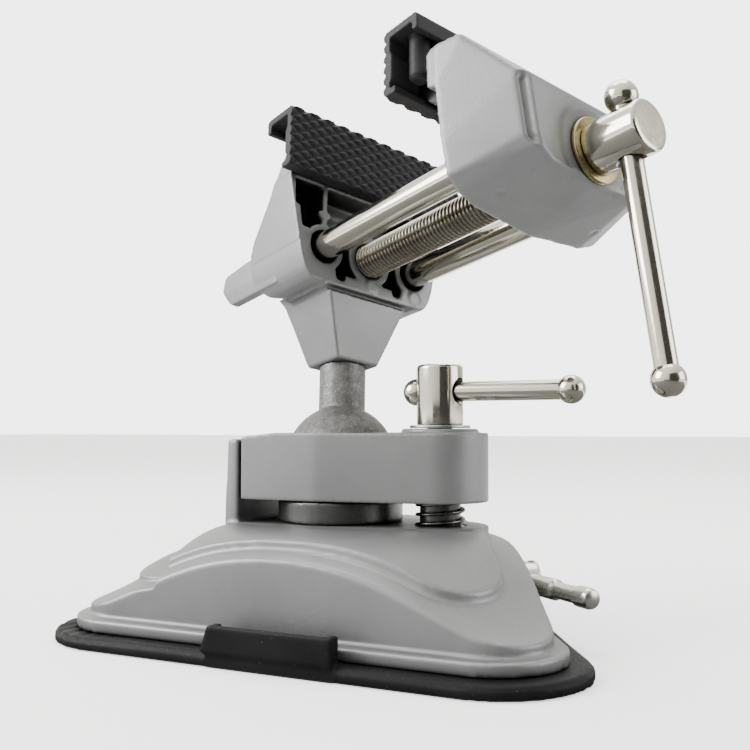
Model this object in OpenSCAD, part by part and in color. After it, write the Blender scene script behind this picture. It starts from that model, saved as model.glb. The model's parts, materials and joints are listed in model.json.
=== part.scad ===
// Bench vise on a suction base: a swivelling, tilting ball-mounted vise head held by a
// screwed-down clamp plate on a three-cornered housing with a rubber suction pad.
// Frame: origin at the centre of the pad's underside, +Z up, +X along the long front side.

/* [Base] */
// Distance from the base centre to each corner's rounding centre
base_c = 62; // [60:0.5:66]
// Corner rounding radius of the rubber pad
pad_r = 25; // [24:0.5:28]
// Height of the housing flange's underside
flange_z = 3.6; // [3.4:0.1:4]
// Thickness of the flange
flange_t = 3.4; // [3:0.1:4]

/* [Ball mount] */
// Radius of the ball
ball_r = 17; // [16.5:0.1:17]
// Radius of the stem's neck
neck_r = 7.3; // [6.9:0.1:7.6]
// Lean of the head from the vertical, degrees
lean = 13.8; // [10:0.1:16]
// Turn of the jaws about the stem, degrees
spin = 64.9; // [60:0.1:70]

/* [Head] */
// Width of the jaws
jaw_w = 70; // [68:0.5:72]
// Gap between the grip faces as stored
jaw_gap = 43.7; // [30:0.1:50]
// Radius of the guide rods
rod_r = 4.3; // [4:0.05:4.4]
// Outside radius of the lead screw
screw_r = 5.5; // [5.2:0.05:5.6]
// Length of the main tommy bar between its ball centres
bar_len = 70.2; // [60:0.1:75]

/* [Hidden] */
$fn = 64;
eps = 0.01;
steel = [0.80, 0.79, 0.76];
casting = [0.63, 0.64, 0.64];
rubber = [0.04, 0.04, 0.045];

ball = [-8, 6, 50.4];          // ball centre
wall_r = pad_r - 9.8;          // corner rounding of the housing's upright walls
flange_r = pad_r - 6;          // corner rounding of the flange
flange_top = flange_z + flange_t;
dome_lo = 9.2; dome_hi = 29;   // dome height at the corners and at the middle
dome_a = 36; dome_b = 82;      // radii between which the dome falls
step_h = 2.5;                  // raised island above the dome
block_z = 32;                  // top of the tower's lower block
plate_b = 38.9; plate_t = 59;  // clamp plate underside and top
scr = [25.2, 6];               // clamp screw's axis
tower_w = 19.5;                // tower's half width beside the ball
end_r = 14.2;                  // tower's end radius about the clamp screw
cam_z = 14;                    // cam shaft height
cam_az = 30;                   // cam shaft direction
cam_e = 1.25;                  // cam eccentricity
tilt_n = [-0.9146, -0.404, 0]; // level axis of the head's lean
rod_z = 62.3;                  // rods' height above the ball centre along the stem
rod_x = 17.9;
face_r = -18.6;                // rear grip face
face_f = face_r - jaw_gap;     // front grip face
pad_lo = 83.1; pad_hi = 103.1; pad_d = 13.7;
wash_y = face_f - 40.8;        // washer's inner face
head_len = 16.8;
head_r = 6.85;
barr = 2.85; bbr = 4.2;        // tommy bar and end ball radii
bar_y = wash_y - 10.2;
bar_a = -8.2;                  // main bar's turn about the screw
hook_d = 9.75;                 // bar ball centre to screw axis when seated
jaw_f = -80;                   // front jaw's rear face
rod_end = -91;                 // rods' ends inside the front jaw
c_az = -4; c_z = 71.1;         // clamp bar's direction and height
c_in = 7.7; c_out = 40.3;      // its ball centres' distances from the clamp screw's axis
cbr = 4.05;

function pol(r, a) = [r * cos(a), r * sin(a)];
function smooth(t) = t <= 0 ? 0 : t >= 1 ? 1 : t * t * (3 - 2 * t);
function dome(r) = dome_lo + (dome_hi - dome_lo) * (1 - smooth((r - dome_a) / (dome_b - dome_a)));
// one rounded corner of a polygon, as arc points
function fil(p, a, b, r, n = 5) =
  let (u = (a - p) / norm(a - p), v = (b - p) / norm(b - p),
       h = acos(u * v) / 2, d = r / tan(h), m = (u + v) / norm(u + v), c = p + m * r / sin(h),
       s = p + u * d - c, e = p + v * d - c,
       a0 = atan2(s[1], s[0]), a1r = atan2(e[1], e[0]), df = a1r - a0,
       a1 = df > 180 ? a1r - 360 : df < -180 ? a1r + 360 : a1r)
  [for (i = [0 : n]) c + pol(r, a0 + (a1 - a0) * i / n)];
function rnd(P, R) = [for (i = [0 : len(P) - 1])
  each (R[i] == 0 ? [P[i]] : fil(P[i], P[(i + len(P) - 1) % len(P)], P[(i + 1) % len(P)], R[i]))];

// three-cornered outline with rounded corners, apex towards +Y
module tri(c, r) {
  v = [for (a = [-150, -30, 90]) pol(c, a)];
  polygon([for (i = [0 : 2]) each [v[i] + pol(r - 0.02, -150 + 120 * i - 60), v[i] + pol(r - 0.02, -150 + 120 * i + 60)]]);
  for (p = v) translate(p) circle(r, $fn = 96);
}
module slab(c, r, z0, z1) { translate([0, 0, z0]) linear_extrude(z1 - z0) tri(c, r); }
module dome_solid(add) {
  n = 22;
  rotate_extrude($fn = 96) polygon(concat([[0, 0], [0, dome(0) + add]],
    [for (i = [0 : n]) let (r = dome_a + (dome_b - dome_a) * i / n) [r, dome(r) + add]],
    [[100, dome_lo + add], [100, 0]]));
}
// tear-shaped outline round the ball and the clamp screw, cut off at the hinge side
module tower2(off = 0, x0 = -32) {
  w = tower_w + off; e = end_r + off; L = scr[0] - ball[0];
  a = asin((w - e) / L);
  intersection() {
    union() {
      translate([ball[0], ball[1]]) {
        circle(w, $fn = 96);
        polygon([[-60, -w], [0, -w], [w * sin(a), -w * cos(a)], [L + e * sin(a), -e * cos(a)],
          [L + e * sin(a), e * cos(a)], [w * sin(a), w * cos(a)], [0, w], [-60, w]]);
      }
      translate(scr) circle(e, $fn = 96);
    }
    translate([x0, -60]) square([140, 140]);
  }
}
module head() { translate(ball) rotate(a = lean, v = tilt_n) rotate([0, 0, spin]) children(); }
module along_cam() { translate([0, 0, cam_z]) rotate([0, 90, cam_az]) children(); }
// cylinder along head Y between two stations
module ycyl(r, y0, y1, x = 0, z = 0) { translate([x, max(y0, y1), z]) rotate([90, 0, 0]) cylinder(abs(y1 - y0), r, r); }

module suction_pad() color(rubber) {
  difference() {
    union() {
      slab(base_c, pad_r, 0, 2.4);
      slab(base_c, pad_r - 0.7, 2.4, flange_z - eps);
      // lift tab at the front
      difference() {
        translate([-13.5, -base_c / 2 - pad_r - 3.2, 0]) cube([36, 7, 10.5]);
        translate([-11, -base_c / 2 - pad_r + 0.2, 3]) cube([31, 10, 20]);
      }
    }
    // shallow seat for the plunger's foot
    translate([0, 0, 2.4]) cylinder(10, 17.5, 17.5);
    for (a = [-150, -30, 90]) rotate([0, 0, a]) translate([42, 0, 1.6]) cylinder(10, 1.5, 1.5);
    // clearance round the flange over the tab
    translate([0, 0, flange_z - eps]) linear_extrude(20) tri(base_c, flange_r + 0.3);
  }
}
module pad_screws() color(steel) for (a = [-150, -30, 90]) rotate([0, 0, a]) translate([42, 0, 0]) {
  translate([0, 0, 1.6]) cylinder(9, 1.5, 1.5);
}
module lug() { translate([42, 0, flange_z]) cylinder(21.4, 3.6, 3.6); }
module base_housing() color(casting) difference() {
  union() {
    difference() {
      union() {
        slab(base_c, flange_r, flange_z, flange_top);
        intersection() { slab(base_c, wall_r, flange_z, 40); dome_solid(0); }
        intersection() { translate([-1, -2.5, 0]) slab(45, 16, flange_z, 40); dome_solid(step_h); }
      }
      intersection() { slab(base_c, wall_r - 2.8, 0, 24); dome_solid(-3.2); }
    }
    for (a = [-150, -30, 90]) rotate([0, 0, a]) lug();
    // tower block and the upright wall that carries the clamp plate's lip
    translate([0, 0, 24]) linear_extrude(block_z - 24) tower2(0, -36);
    intersection() {
      translate([0, 0, 24]) linear_extrude(33) tower2(0, -36);
      translate([-36.5, -40, 20]) cube([3.4, 90, 60]);
    }
    translate([0, 0, 22.8]) cylinder(2.2, 8, 8);
    // bearings for the cam shaft: a boss in the wall and a hanging web
    along_cam() translate([0, 0, 38.5]) cylinder(8, 6, 6);
    rotate([0, 0, cam_az]) translate([-22, -7, 8]) cube([5, 14, 17]);
    translate([scr[0], scr[1], 22]) cylinder(3, 8, 8);
  }
  // lip groove for the clamp plate
  translate([-33.9, ball[1] - 9.3, 47.4]) cube([2, 18.6, 6]);
  translate([0, 0, 15]) cylinder(15.4, 4.05, 4.05);
  translate([scr[0], scr[1], 18]) cylinder(40, 4.05, 4.05);
  translate([scr[0], scr[1], block_z - 2]) cylinder(10, 7.6, 7.6);
  translate([ball[0], ball[1], 27]) cylinder(20, 3.05, 3.05);
  along_cam() translate([0, 0, -60]) cylinder(130, 3.55, 3.55);
  for (a = [-150, -30, 90]) rotate([0, 0, a]) translate([42, 0, 3]) cylinder(8, 1.5, 1.5);
  // flat outer face for the lever hub
  rotate([0, 0, cam_az]) translate([46.3, -9, 9]) cube([4, 18, 10]);
}
module plunger() color(steel) difference() {
  union() {
    translate([0, 0, 2.4]) cylinder(1.8, 16.5, 16.5);
    rotate([0, 0, cam_az]) translate([-5, -9.5, 4.2]) cube([10, 19, 17.2 - 1.4]);
    translate([0, 0, 20 - eps]) cylinder(7.6, 4, 4);
  }
  rotate([0, 0, cam_az]) translate([-10, -7, cam_z - cam_e - 5.5]) cube([20, 14, 11]);
}
module plunger_washer() color(steel) difference() {
  translate([0, 0, 4.2]) cylinder(0.9, 15, 15);
  rotate([0, 0, cam_az]) translate([-5.1, -9.6, 0]) cube([10.2, 19.2, 20]);
}
module cam_shaft() color(steel) difference() {
  along_cam() {
    translate([0, 0, -25]) cylinder(25 + 56, 3.5, 3.5);
    translate([cam_e, 0, -6]) cylinder(12, 5, 5);
  }
  along_cam() translate([0, 0, -23.4]) difference() { cylinder(0.9, 5, 5); cylinder(0.9, 2.7, 2.7); }
}
module shaft_clip() color(steel) along_cam() translate([0, 0, -23.4 + 0.05]) difference() {
  cylinder(0.8, 5.2, 5.2);
  translate([0, 0, -1]) cylinder(3, 2.75, 2.75);
}
module lever() color(steel) difference() {
  union() {
    along_cam() translate([0, 0, 47]) cylinder(8.4, 6, 6);
    rotate([0, 0, cam_az]) translate([51.2, 0, cam_z]) rotate([0, 0, -70]) rotate([0, 90, 0]) {
      cylinder(18, 3.1, 3.1);
      cylinder(29, 2.4, 2.4);
      translate([0, 0, 28]) cylinder(5.5, 3, 3);
      intersection() {
        translate([0, 0, 31.5]) sphere(3.6);
        translate([0, 0, 33.5]) cylinder(5, 3, 3);
      }
    }
  }
  along_cam() translate([0, 0, 40]) cylinder(30, 3.5, 3.5);
  rotate([0, 0, cam_az]) translate([53.6, 0, 0]) cylinder(40, 1, 1);
}
module lever_pin() color(steel) rotate([0, 0, cam_az]) translate([53.6, 0, cam_z + 3.6]) cylinder(2.6, 0.97, 0.97);

module ball_seat() color([0.12, 0.12, 0.13]) difference() {
  union() {
    translate([ball[0], ball[1], block_z + 0.05]) cylinder(38.55 - block_z, 19.2, 19.2, $fn = 96);
    translate([ball[0], ball[1], 27.6]) cylinder(6, 3, 3);
  }
  translate(ball) sphere(ball_r + 0.06, $fn = 96);
}
module ball_stem() color([0.42, 0.42, 0.42]) head() difference() {
  union() {
    sphere(ball_r, $fn = 96);
    translate([0, 0, 10]) cylinder(20, neck_r, neck_r);
    translate([0, 0, 29]) cylinder(15, 5, 5);
  }
  translate([0, 0, 34]) cylinder(20, 2, 2);
}
module stem_screw() color(steel) head() {
  translate([0, 0, 35]) cylinder(9.2, 1.97, 1.97);
  translate([0, 0, 44.1]) cylinder(2.4, 6.6, 6.6);
}
module clamp_plate() color(casting) difference() {
  union() {
    translate([0, 0, plate_b]) linear_extrude(plate_t - plate_b) tower2();
    translate([scr[0], scr[1], plate_t - 1]) cylinder(2.2, 11.2, 11.2);
    // lip that rocks in the wall
    translate([-31.6, ball[1] - 8, 50.4]) rotate([-90, 0, 0]) cylinder(16, 2, 2);
  }
  // the top falls a little towards the lip
  translate([-32, -40, plate_t - 1.2]) rotate([0, -6, 0]) translate([-5, 0, 0]) cube([17, 90, 6]);
  translate(ball) sphere(ball_r + 0.06, $fn = 96);
  translate([ball[0], ball[1], plate_b - 5]) cylinder(ball[2] - plate_b + 5, ball_r + 0.3, ball_r + 0.3, $fn = 96);
  translate([scr[0], scr[1], 30]) cylinder(40, 4.6, 4.6);
  translate([scr[0], scr[1], 30]) cylinder(13.4, 7.9, 7.9);
}
module clamp_spring() color([0.3, 0.3, 0.3]) translate([scr[0], scr[1], 0]) {
  // closed rings standing for the coils
  for (z = [30.8, 33.7, 36.6, 39.5, 42.3]) translate([0, 0, z]) rotate_extrude($fn = 48) translate([6.9, 0]) circle(0.5, $fn = 16);
  for (i = [0 : 3]) rotate([0, 0, 90 * i]) translate([6.9, 0, 30.8]) cylinder(11.5, 0.35, 0.35, $fn = 16);
}
module clamp_washer() color(steel) translate([scr[0], scr[1], plate_t + 1.25]) difference() {
  cylinder(1, 9, 9);
  translate([0, 0, -1]) cylinder(3, 4.05, 4.05);
}
module clamp_screw() color(steel) difference() {
  translate([scr[0], scr[1], 0]) {
    translate([0, 0, 20]) cylinder(43, 4, 4);
    translate([0, 0, 30.2]) cylinder(12.6, 6.05, 6.05);
    translate([0, 0, plate_t + 2.3]) cylinder(16.9, head_r, head_r);
    translate([0, 0, plate_t + 19.2]) cylinder(0.9, head_r, head_r - 0.9);
  }
  translate([scr[0], scr[1], c_z]) rotate([0, 90, c_az]) {
    translate([0, 0, -20]) cylinder(40, barr + 0.08, barr + 0.08);
    for (z = [-c_in, c_in]) translate([0, 0, z]) sphere(cbr + 0.12);
  }
}
module clamp_bar() color(steel) translate([scr[0], scr[1], c_z]) rotate([0, 90, c_az]) translate([0, 0, -c_in]) cylinder(c_in + c_out, barr, barr);
module clamp_bar_balls() color(steel) difference() {
  translate([scr[0], scr[1], c_z]) rotate([0, 90, c_az]) for (z = [-c_in, c_out]) translate([0, 0, z]) sphere(cbr);
  clamp_bar();
}

// rear jaw: outlines seen from the front and from the side
module front_view(y0, y1, off = 0) translate([0, y1, 0]) rotate([90, 0, 0]) linear_extrude(y1 - y0)
  polygon(rnd([[-34 + off, 84], [-29 + off, 58], [-27 + off, 50 + off], [27 - off, 50 + off], [29 - off, 58], [34 - off, 84]], [0, 0, 8 - off, 8 - off, 0, 0]));
module side_view(P, R, x = 36) rotate([90, 0, 90]) translate([0, 0, -x]) linear_extrude(2 * x) polygon(rnd(P, R));
module rear_jaw() color(casting) head() difference() {
  union() {
    difference() {
      intersection() {
        front_view(-17, 16);
        side_view([[-17, 45], [-17, 83.05], [-4, 83.05], [0.3, 78.6], [5.5, 74], [11, 69.2], [14, 64.8], [14, 55], [10.5, 51], [4, 46], [3, 45]], [0, 0, 0, 0, 0, 0, 1.5, 2, 0, 0, 0]);
      }
      intersection() {
        front_view(-18, -3, 3);
        translate([-40, -18, 52]) cube([80, 14, 26.5]);
      }
    }
    // bosses round the rods and the screw, with ribs
    for (x = [-rod_x, rod_x]) ycyl(7.2, -17, -3, x, rod_z);
    ycyl(8.4, -17, -3, 0, rod_z);
    for (x = [-rod_x, rod_x]) translate([x - 0.9, -15.5, rod_z]) cube([1.8, 12.5, 19]);
    for (x = [-rod_x, rod_x]) ycyl(2.4, -15.8, -3, x, 73.5);
    translate([-9.5, -16.6, 51]) cube([19, 13, 4]);
    // tongue inside the jaw cover
    translate([-24, -15.9, 79.5]) cube([48, 8, 20.8]);
    // two lugs at the back, outside the rods
    intersection() {
      side_view([[2, 53], [29.5, 53], [33.8, 59.5], [32, 64.2], [19, 65.4], [2, 65.4]], [0, 3, 2.5, 2.5, 0, 0]);
      for (x = [-28.2, 22.6]) translate([x, -10, 40]) cube([5.6, 60, 40]);
    }
    // tapered socket
    socket();
  }
  // rim set back behind the cover's foot
  translate([-40, -25, 50.6]) cube([80, 11.5, 34.8]);
  for (x = [-rod_x, rod_x]) ycyl(rod_r + 0.06, -40, 40, x, rod_z);
  ycyl(screw_r + 0.06, -40, 40, 0, rod_z);
  translate([0, 0, 20]) cylinder(25, 5.05, 5.05);
  translate([0, 0, 44.05]) cylinder(12, 6.9, 6.9);
  for (x = [-20, 20]) translate([x, -30, 92]) rotate([-90, 0, 0]) cylinder(24, 1.2, 1.2);
}
// four-sided taper, wide at the jaw and narrow at the neck
module socket() {
  a = 7.9; b = 15.5; z0 = 30.05; z1 = 53;
  intersection() {
    side_view([[-a, z0], [-13.8, z1], [b, z1], [a, z0]], [0, 0, 0, 0], 20);
    translate([0, 40, 0]) rotate([90, 0, 0]) linear_extrude(80) polygon([[-a, z0], [-b - 1, z1], [b + 1, z1], [a, z0]]);
  }
}
module cover(y) {
  // grip face towards -Y at y; C-shaped section hooked over the tongue
  difference() {
    union() {
      translate([-jaw_w / 2, y, pad_lo]) cube([jaw_w, pad_d, pad_hi - pad_lo]);
    }
    translate([-jaw_w / 2 - 1, y + 2.6, pad_lo + 2.1]) cube([jaw_w + 2, pad_d - 4.7, 15.5]);
    translate([-jaw_w / 2 - 1, y + 4.9, pad_lo - 1]) cube([jaw_w + 2, 20, 15.9]);
    for (x = [-20, 20]) translate([x, y + 1.2, 92]) rotate([-90, 0, 0]) cylinder(3, 1.2, 1.2);
  }
}
module rear_jaw_pad() color(rubber) head() { cover(face_r + 0.0); }
module jaw_pad_pins() color(steel) head() for (x = [-20, 20]) translate([x, face_r + 1.2, 92]) rotate([-90, 0, 0]) cylinder(8.4, 1.2, 1.2);
module front_pad_pins() color(steel) head() for (x = [-20, 20]) translate([x, face_f - 9.6, 92]) rotate([-90, 0, 0]) cylinder(8.4, 1.2, 1.2);

// front jaw: a block that narrows to a nose for the screw, with a hooked tongue in the cover
module outline(P, y0, y1) translate([0, y1, 0]) rotate([90, 0, 0]) linear_extrude(y1 - y0)
  polygon(concat([for (p = P) [-p[0], p[1]]], [for (i = [len(P) - 1 : -1 : 0]) if (P[i][0] > 0) P[i]]));
module front_jaw() color(casting) head() difference() {
  union() {
    difference() {
      hull() {
        outline([[33, 91], [33, 80], [32, 72], [31, 64], [29, 55], [25.6, 51.6], [20, 49.4], [0, 47.3]], jaw_f - 1, jaw_f);
        translate([-31.5, -88, 89]) cube([63, 8, 2]);
        outline([[23.5, 76.2], [25.2, 74.8], [22.8, 60], [21, 57.2], [16, 54], [0, 53.2]], -102.3, -101);
        outline([[22.8, 75.4], [24.3, 74.2], [22, 60.4], [20.2, 57.8], [15.5, 54.9], [0, 54]], wash_y, -102);
      }
      translate([-24.5, jaw_f - 5, 57]) cube([49, 6, 25]);
    }
    for (x = [-rod_x, rod_x]) ycyl(7.2, jaw_f - 8, jaw_f, x, rod_z);
    ycyl(8.4, jaw_f - 8, jaw_f, 0, rod_z);
    for (x = [-rod_x, rod_x]) translate([x - 0.9, jaw_f - 7.5, rod_z]) cube([1.8, 7, 21]);
    translate([-24, jaw_f - 1, 84]) cube([48, face_f - 5.1 - jaw_f + 1, 6.5]);
    translate([-24, face_f - 10.7, 85.4]) cube([48, 8, 14.9]);
    // upper edge stands out towards the cover
    side_view([[-80.9, 78.9], [-77.2, 79.6], [-76.7, 89.6], [-78.4, 90.9], [-80.9, 90.9]], [0, 0.8, 0.8, 0.8, 0], 32.9);
  }
  for (x = [-rod_x, rod_x]) ycyl(rod_r, rod_end, -50, x, rod_z);
  ycyl(screw_r + 0.06, -120, -50, 0, rod_z);
  for (x = [-rod_x, rod_x]) translate([x, -88, 45]) cylinder(20, 1, 1);
  for (x = [-20, 20]) translate([x, face_f - 12, 92]) rotate([-90, 0, 0]) cylinder(24, 1.2, 1.2);
}
module front_jaw_pad() color(rubber) head() translate([0, 2 * face_f, 0]) mirror([0, 1, 0]) cover(face_f);
module guide_rods() color(steel) head() difference() {
  for (x = [-rod_x, rod_x]) ycyl(rod_r, 12.5, rod_end, x, rod_z);
  for (x = [-rod_x, rod_x]) translate([x, -88, 45]) cylinder(20, 1, 1);
}
module rod_pins() color(steel) head() for (x = [-rod_x, rod_x]) translate([x, -88, 56]) cylinder(8, 0.97, 0.97);
module lead_screw() color(steel) head() difference() {
  union() {
    ycyl(screw_r, 12.5, wash_y - 3, 0, rod_z);
    ycyl(head_r, wash_y - 1.3, wash_y - head_len, 0, rod_z);
  }
  // groove for the retaining clip
  translate([0, jaw_f + 1.7, rod_z]) rotate([90, 0, 0]) difference() { cylinder(1, 8, 8); translate([0, 0, -1]) cylinder(3, 4.4, 4.4); }
  translate([0, bar_y, rod_z]) rotate([0, bar_a, 0]) translate([0, 0, -20]) cylinder(40, barr + 0.08, barr + 0.08);
}
module screw_washer() color([0.75, 0.62, 0.2]) head() difference() {
  ycyl(10.4, wash_y - 0.05, wash_y - 1.25, 0, rod_z);
  ycyl(screw_r + 0.06, wash_y + 1, wash_y - 3, 0, rod_z);
}
module screw_clip() color(steel) head() difference() {
  ycyl(7.8, jaw_f + 1.6, jaw_f + 0.8, 0, rod_z);
  ycyl(4.45, jaw_f + 3, jaw_f - 1, 0, rod_z);
}
module main_bar() color(steel) head() translate([0, bar_y, rod_z]) rotate([0, bar_a, 0]) translate([0, 0, hook_d - bar_len]) cylinder(bar_len, barr, barr);
module main_bar_balls() color(steel) difference() {
  head() translate([0, bar_y, rod_z]) rotate([0, bar_a, 0]) for (z = [hook_d + 0.3, hook_d - bar_len - 0.3]) translate([0, 0, z]) sphere(bbr);
  main_bar();
}

suction_pad();
pad_screws();
base_housing();
plunger();
plunger_washer();
cam_shaft();
lever();
lever_pin();
shaft_clip();
ball_seat();
ball_stem();
clamp_plate();
clamp_spring();
clamp_washer();
clamp_screw();
clamp_bar();
clamp_bar_balls();
rear_jaw();
rear_jaw_pad();
jaw_pad_pins();
stem_screw();
front_jaw();
front_jaw_pad();
front_pad_pins();
guide_rods();
rod_pins();
lead_screw();
screw_washer();
screw_clip();
main_bar();
main_bar_balls();
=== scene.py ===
import bpy
import bmesh
import json
import math
import numpy as np
from mathutils import Matrix, Vector, noise


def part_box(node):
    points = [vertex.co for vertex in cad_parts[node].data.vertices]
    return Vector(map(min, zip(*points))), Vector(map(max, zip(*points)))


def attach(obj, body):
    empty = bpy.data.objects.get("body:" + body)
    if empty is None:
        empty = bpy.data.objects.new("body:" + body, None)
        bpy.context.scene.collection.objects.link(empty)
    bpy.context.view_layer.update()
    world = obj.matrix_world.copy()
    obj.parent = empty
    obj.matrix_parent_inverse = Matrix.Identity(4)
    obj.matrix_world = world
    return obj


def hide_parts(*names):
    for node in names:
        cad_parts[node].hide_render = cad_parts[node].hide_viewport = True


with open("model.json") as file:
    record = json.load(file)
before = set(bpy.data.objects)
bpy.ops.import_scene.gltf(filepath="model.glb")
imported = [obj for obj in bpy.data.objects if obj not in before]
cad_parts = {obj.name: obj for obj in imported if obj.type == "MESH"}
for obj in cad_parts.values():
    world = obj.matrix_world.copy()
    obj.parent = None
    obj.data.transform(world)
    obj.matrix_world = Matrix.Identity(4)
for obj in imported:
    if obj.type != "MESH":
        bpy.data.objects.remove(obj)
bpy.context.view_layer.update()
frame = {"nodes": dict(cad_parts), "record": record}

NODES = frame["nodes"]
SCENE = bpy.context.scene

# ---------------------------------------------------------------- head frame
BALL = Vector((-8.0, 6.0, 50.4))
HEAD = (Matrix.Translation(BALL) @ Matrix.Rotation(math.radians(13.8), 4, Vector((-0.9146, -0.404, 0)))
        @ Matrix.Rotation(math.radians(64.9), 4, "Z"))
MM = Matrix.Scale(0.001, 4)
ROD_Z, ROD_X = 62.3, 17.9
FACE_R, FACE_F = -18.6, -62.3
WASH_Y = FACE_F - 40.8
BAR_Y = WASH_Y - 10.2
BAR_A = math.radians(-8.2)
SCR = (25.2, 6.0)


# ---------------------------------------------------------------- mesh helpers
def make(name, verts, faces, place=None, smooth=True):
    """A new object from vertices in millimetres, set in place by a matrix in millimetres."""
    mesh = bpy.data.meshes.new(name)
    if place is not None:
        verts = [place @ Vector(v) for v in verts]
    mesh.from_pydata([Vector(v) * 0.001 for v in verts], [], faces)
    bm = bmesh.new()
    bm.from_mesh(mesh)
    bmesh.ops.remove_doubles(bm, verts=bm.verts, dist=1e-7)
    bmesh.ops.recalc_face_normals(bm, faces=bm.faces)
    bm.to_mesh(mesh)
    bm.free()
    obj = bpy.data.objects.new(name, mesh)
    SCENE.collection.objects.link(obj)
    for p in mesh.polygons:
        p.use_smooth = smooth
    return obj


def lathe(profile, seg=96):
    """Vertices and faces of a closed turned solid about Z from (radius, height) pairs whose ends have radius 0."""
    verts, faces, rings = [], [], []
    for r, h in profile:
        if r < 1e-6:
            rings.append([len(verts)])
            verts.append((0, 0, h))
        else:
            rings.append(list(range(len(verts), len(verts) + seg)))
            verts += [(r * math.cos(2 * math.pi * i / seg), r * math.sin(2 * math.pi * i / seg), h) for i in range(seg)]
    for a, b in zip(rings, rings[1:]):
        for i in range(seg):
            j = (i + 1) % seg
            if len(a) == 1 and len(b) == 1:
                continue
            if len(a) == 1:
                faces.append((a[0], b[j], b[i]))
            elif len(b) == 1:
                faces.append((a[i], a[j], b[0]))
            else:
                faces.append((a[i], a[j], b[j], b[i]))
    return verts, faces


def rounded(points, radii, n=5):
    """A profile with its inner corners rounded."""
    out = []
    for k, (p, r) in enumerate(zip(points, radii)):
        if r <= 0 or k in (0, len(points) - 1):
            out.append(p)
            continue
        p0, p1, p2 = Vector(points[k - 1]), Vector(p), Vector(points[k + 1])
        u, v = (p0 - p1).normalized(), (p2 - p1).normalized()
        half = math.acos(max(-1, min(1, u.dot(v)))) / 2
        if half > 1.55:
            out.append(p)
            continue
        d = r / math.tan(half)
        c = p1 + (u + v).normalized() * (r / math.sin(half))
        s, e = p1 + u * d - c, p1 + v * d - c
        a0, a1 = math.atan2(s.y, s.x), math.atan2(e.y, e.x)
        if a1 - a0 > math.pi:
            a1 -= 2 * math.pi
        if a1 - a0 < -math.pi:
            a1 += 2 * math.pi
        for i in range(n + 1):
            a = a0 + (a1 - a0) * i / n
            out.append((c.x + r * math.cos(a), c.y + r * math.sin(a)))
    return out


def freeze(obj):
    """Turns an object's modifiers into its mesh."""
    deps = bpy.context.evaluated_depsgraph_get()
    mesh = bpy.data.meshes.new_from_object(obj.evaluated_get(deps))
    old = obj.data
    obj.modifiers.clear()
    obj.data = mesh
    bpy.data.meshes.remove(old)
    return obj


def cut(obj, *tools):
    for t in tools:
        m = obj.modifiers.new("cut", "BOOLEAN")
        m.operation = "DIFFERENCE"
        m.solver = "EXACT"
        m.object = t
    freeze(obj)
    for t in tools:
        mesh = t.data
        bpy.data.objects.remove(t)
        bpy.data.meshes.remove(mesh)
    return obj


def by_angle(obj, deg=35):
    mesh = obj.data
    for p in mesh.polygons:
        p.use_smooth = True
    if hasattr(mesh, "set_sharp_from_angle"):
        mesh.set_sharp_from_angle(angle=math.radians(deg))
    return obj


def soften(node, name, voxel, smooth=4, extra=None, factor=0.5, parts=(), tools=()):
    """A copy of a CAD node with soft cast or moulded edges. parts are closed solids that grow onto it, tools are cut out of it."""
    src = NODES[node]
    mesh = src.data.copy()
    mesh.transform(src.matrix_world)
    bm = bmesh.new()
    bm.from_mesh(mesh)
    for t in parts:
        bm.from_mesh(t.data)
    bm.to_mesh(mesh)
    bm.free()
    for t in parts:
        bpy.data.objects.remove(t)
    obj = bpy.data.objects.new(name, mesh)
    SCENE.collection.objects.link(obj)
    if tools:
        m = obj.modifiers.new("join", "REMESH")
        m.mode = "VOXEL"
        m.voxel_size = voxel * 0.001
        for t in tools:
            m = obj.modifiers.new("cut", "BOOLEAN")
            m.operation = "DIFFERENCE"
            m.solver = "EXACT"
            m.object = t
        freeze(obj)
        for t in tools:
            bpy.data.objects.remove(t)
    m = obj.modifiers.new("remesh", "REMESH")
    m.mode = "VOXEL"
    m.voxel_size = voxel * 0.001
    m.use_smooth_shade = True
    s = obj.modifiers.new("smooth", "SMOOTH")
    s.factor = factor
    s.iterations = smooth
    freeze(obj)
    if extra:
        n = len(obj.data.vertices)
        co, no = np.empty(n * 3), np.empty(n * 3)
        obj.data.vertices.foreach_get("co", co)
        obj.data.vertices.foreach_get("normal", no)
        co = extra(co.reshape(-1, 3) * 1000.0, no.reshape(-1, 3)) * 0.001
        obj.data.vertices.foreach_set("co", co.reshape(-1))
    for p in obj.data.polygons:
        p.use_smooth = True
    clamp(obj, node)
    return obj


def clamp(obj, *nodes):
    """Keeps a piece inside the box of the nodes that it stands for."""
    lo = [min(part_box(n)[0][k] for n in nodes) for k in range(3)]
    hi = [max(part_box(n)[1][k] for n in nodes) for k in range(3)]
    n = len(obj.data.vertices)
    co = np.empty(n * 3)
    obj.data.vertices.foreach_get("co", co)
    co = np.clip(co.reshape(-1, 3), lo, hi)
    obj.data.vertices.foreach_set("co", co.reshape(-1))
    obj.data.update()


def prism(name, points, lo, hi, place=None):
    """A closed solid from an outline in XY, raised from lo to hi along Z."""
    n = len(points)
    verts = [(x, y, lo) for x, y in points] + [(x, y, hi) for x, y in points]
    faces = [tuple(range(n - 1, -1, -1)), tuple(range(n, 2 * n))]
    faces += [(k, (k + 1) % n, n + (k + 1) % n, n + k) for k in range(n)]
    return make(name, verts, faces, place, smooth=False)


def solid(name, corners, place=None):
    """A closed six-sided solid from its four lower and four upper corners."""
    faces = [(3, 2, 1, 0), (4, 5, 6, 7)] + [(k, (k + 1) % 4, 4 + (k + 1) % 4, 4 + k) for k in range(4)]
    return make(name, corners, faces, place, smooth=False)


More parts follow.
